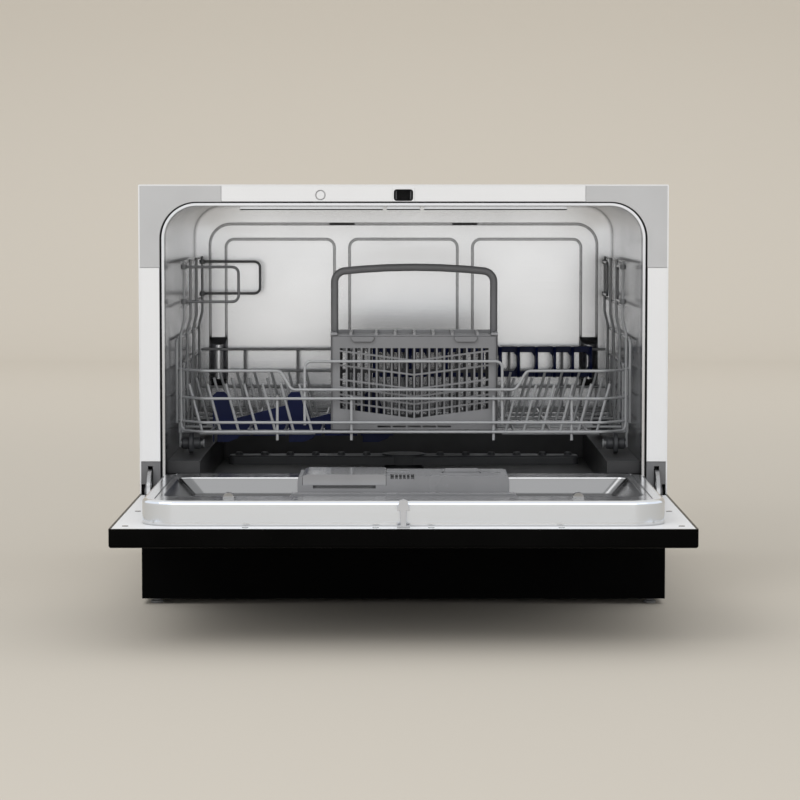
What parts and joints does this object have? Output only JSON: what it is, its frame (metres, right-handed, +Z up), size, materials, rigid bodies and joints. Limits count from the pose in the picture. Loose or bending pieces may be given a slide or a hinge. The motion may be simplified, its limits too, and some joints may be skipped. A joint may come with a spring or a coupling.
{
  "type": "compact dishwasher",
  "caption": "Table-top dishwasher with a drop-down door, steel tub, spray arm and a wire basket on rollers with plate tines, swinging cup loops and a lidded cutlery basket.",
  "frame": {"origin": "on the surface the feet stand on, under the middle of the machine's box with its door lowered", "axes": "+X is the machine's right, -Y is its front where the door lies open, +Z is up"},
  "size_m": [0.55, 0.8206, 0.438],
  "materials": {
    "black_plastic": "moulded, satin",
    "white_paint": "satin paint",
    "grey_paint": "satin paint",
    "grey_plastic": "moulded",
    "steel": "brushed stainless",
    "liner_steel": "brushed stainless",
    "hinge_steel": "bright",
    "rubber": "matt",
    "tub_floor": "moulded",
    "spray_plastic": "moulded",
    "filter_mesh": "fine perforation",
    "pump_grey": "moulded",
    "brass_thread": "turned",
    "door_black": "gloss",
    "glass_black": "smoked",
    "button_grey": "satin",
    "board_green": "circuit board",
    "dispenser_grey": "satin",
    "lid_grey": "gloss",
    "wire_coating": "nylon coated wire",
    "roller_grey": "moulded",
    "cutlery_grey": "moulded",
    "handle_grey": "moulded",
    "navy_plastic": "moulded"
  },
  "bodies": {
    "cabinet": {"base_tray": "black_plastic", "plinth_panel": "black_plastic", "levelling_feet": "rubber", "left_side_panel": "white_paint", "right_side_panel": "white_paint", "back_panel": "white_paint", "top_cover": "white_paint", "top_crossbar": "white_paint", "corner_plates": "grey_paint", "front_posts": "white_paint", "hinge_housings": "grey_plastic", "hinge_pins": "hinge_steel", "tub_wrapper": "steel", "tub_back": "steel", "tub_floor": "tub_floor", "door_seal": "rubber", "door_lock": "black_plastic", "spray_pedestal": "spray_plastic", "filter_plate": "filter_mesh", "wash_pump": "pump_grey", "drain_pump": "pump_grey", "water_inlet": "brass_thread", "drain_outlet": "pump_grey", "cable_gland": "black_plastic"},
    "spray_arm": {"spray_arm": "spray_plastic"},
    "filter": {"filter_cup": "pump_grey"},
    "door": {"door_outer_panel": "door_black", "door_inner_panel": "white_paint", "door_liner": "liner_steel", "control_board": "board_green", "door_striker": "grey_plastic", "hinge_arms": "hinge_steel", "dispenser_body": "dispenser_grey", "door_screws": "hinge_steel", "display_window": "glass_black"},
    "detergent_lid": {"detergent_lid": "lid_grey"},
    "rinse_aid_cap": {"rinse_aid_cap": "dispenser_grey"},
    "power_button": {"power_button": "button_grey"},
    "program_button": {"program_button": "button_grey"},
    "start_button": {"start_button": "button_grey"},
    "basket": {"basket_floor": "wire_coating", "basket_front": "wire_coating", "basket_back": "wire_coating", "basket_left_side": "wire_coating", "basket_right_side": "wire_coating", "plate_tines": "wire_coating", "cutlery_basket": "cutlery_grey", "cutlery_handle": "handle_grey", "glass_comb": "navy_plastic", "plate_rest": "navy_plastic"},
    "cutlery_front_lid": {"cutlery_front_lid": "cutlery_grey"},
    "cutlery_rear_lid": {"cutlery_rear_lid": "cutlery_grey"},
    "front_left_roller": {"front_left_roller": "roller_grey"},
    "rear_left_roller": {"rear_left_roller": "roller_grey"},
    "front_right_roller": {"front_right_roller": "roller_grey"},
    "rear_right_roller": {"rear_right_roller": "roller_grey"},
    "left_front_loop": {"left_front_loop": "wire_coating"},
    "left_rear_loop": {"left_rear_loop": "wire_coating"},
    "right_front_loop": {"right_front_loop": "wire_coating"},
    "right_rear_loop": {"right_rear_loop": "wire_coating"}
  },
  "joints": [
    {"name": "door_hinge", "type": "hinge", "parent": "cabinet", "child": "door", "pos_m": [0, -0.08975, 0.117], "axis": [-1, 0, 0], "range_deg": [0, 90]},
    {"name": "basket_slide", "type": "slide", "parent": "cabinet", "child": "basket", "axis": [0, 1, 0], "range_m": [-0.3, 0]},
    {"name": "spray_turn", "type": "hinge", "parent": "cabinet", "child": "spray_arm", "pos_m": [0, 0.13775, 0.13], "axis": [0, 0, 1], "continuous": true},
    {"name": "filter_twist", "type": "hinge", "parent": "cabinet", "child": "filter", "pos_m": [0.096, 0.03025, 0.1], "axis": [0, 0, 1], "range_deg": [0, 45]},
    {"name": "detergent_lid_slide", "type": "slide", "parent": "door", "child": "detergent_lid", "axis": [0, 1, 0], "range_m": [0, 0.045]},
    {"name": "rinse_aid_cap_turn", "type": "hinge", "parent": "door", "child": "rinse_aid_cap", "pos_m": [0.057, -0.25125, 0.15], "axis": [0, 0, 1], "range_deg": [0, 90]},
    {"name": "power_button_press", "type": "slide", "parent": "door", "child": "power_button", "axis": [0, 0, 1], "range_m": [0, 0.0012], "stiffness_N_per_m": 400},
    {"name": "program_button_press", "type": "slide", "parent": "door", "child": "program_button", "axis": [0, 0, 1], "range_m": [0, 0.0012], "stiffness_N_per_m": 400},
    {"name": "start_button_press", "type": "slide", "parent": "door", "child": "start_button", "axis": [0, 0, 1], "range_m": [0, 0.0012], "stiffness_N_per_m": 400},
    {"name": "cutlery_front_lid_hinge", "type": "hinge", "parent": "basket", "child": "cutlery_front_lid", "pos_m": [0, -0.01935, 0.2796], "axis": [1, 0, 0], "range_deg": [0, 100]},
    {"name": "cutlery_rear_lid_hinge", "type": "hinge", "parent": "basket", "child": "cutlery_rear_lid", "pos_m": [0, 0.04785, 0.2796], "axis": [-1, 0, 0], "range_deg": [0, 100]},
    {"name": "left_front_loop_swing", "type": "hinge", "parent": "basket", "child": "left_front_loop", "pos_m": [-0.237, 0.02825, 0.331], "axis": [0, 0, 1], "range_deg": [0, 90]},
    {"name": "left_rear_loop_swing", "type": "hinge", "parent": "basket", "child": "left_rear_loop", "pos_m": [-0.237, 0.30625, 0.331], "axis": [0, 0, -1], "range_deg": [0, 90]},
    {"name": "right_front_loop_swing", "type": "hinge", "parent": "basket", "child": "right_front_loop", "pos_m": [0.237, 0.02825, 0.331], "axis": [0, 0, 1], "range_deg": [0, 90]},
    {"name": "right_rear_loop_swing", "type": "hinge", "parent": "basket", "child": "right_rear_loop", "pos_m": [0.237, 0.30625, 0.331], "axis": [0, 0, -1], "range_deg": [0, 90]},
    {"name": "front_left_roller_spin", "type": "hinge", "parent": "basket", "child": "front_left_roller", "pos_m": [-0.233, 0.02025, 0.16], "axis": [1, 0, 0], "range_deg": [-10, 1510]},
    {"name": "rear_left_roller_spin", "type": "hinge", "parent": "basket", "child": "rear_left_roller", "pos_m": [-0.233, 0.27025, 0.16], "axis": [1, 0, 0], "range_deg": [-10, 1510]},
    {"name": "front_right_roller_spin", "type": "hinge", "parent": "basket", "child": "front_right_roller", "pos_m": [0.233, 0.02025, 0.16], "axis": [1, 0, 0], "range_deg": [-10, 1510]},
    {"name": "rear_right_roller_spin", "type": "hinge", "parent": "basket", "child": "rear_right_roller", "pos_m": [0.233, 0.27025, 0.16], "axis": [1, 0, 0], "range_deg": [-10, 1510]}
  ],
  "couplings": [
    {"joint": "front_left_roller_spin", "follows": "basket_slide", "rad_per_m": -86.957},
    {"joint": "rear_left_roller_spin", "follows": "basket_slide", "rad_per_m": -86.957},
    {"joint": "front_right_roller_spin", "follows": "basket_slide", "rad_per_m": -86.957},
    {"joint": "rear_right_roller_spin", "follows": "basket_slide", "rad_per_m": -86.957}
  ]
}
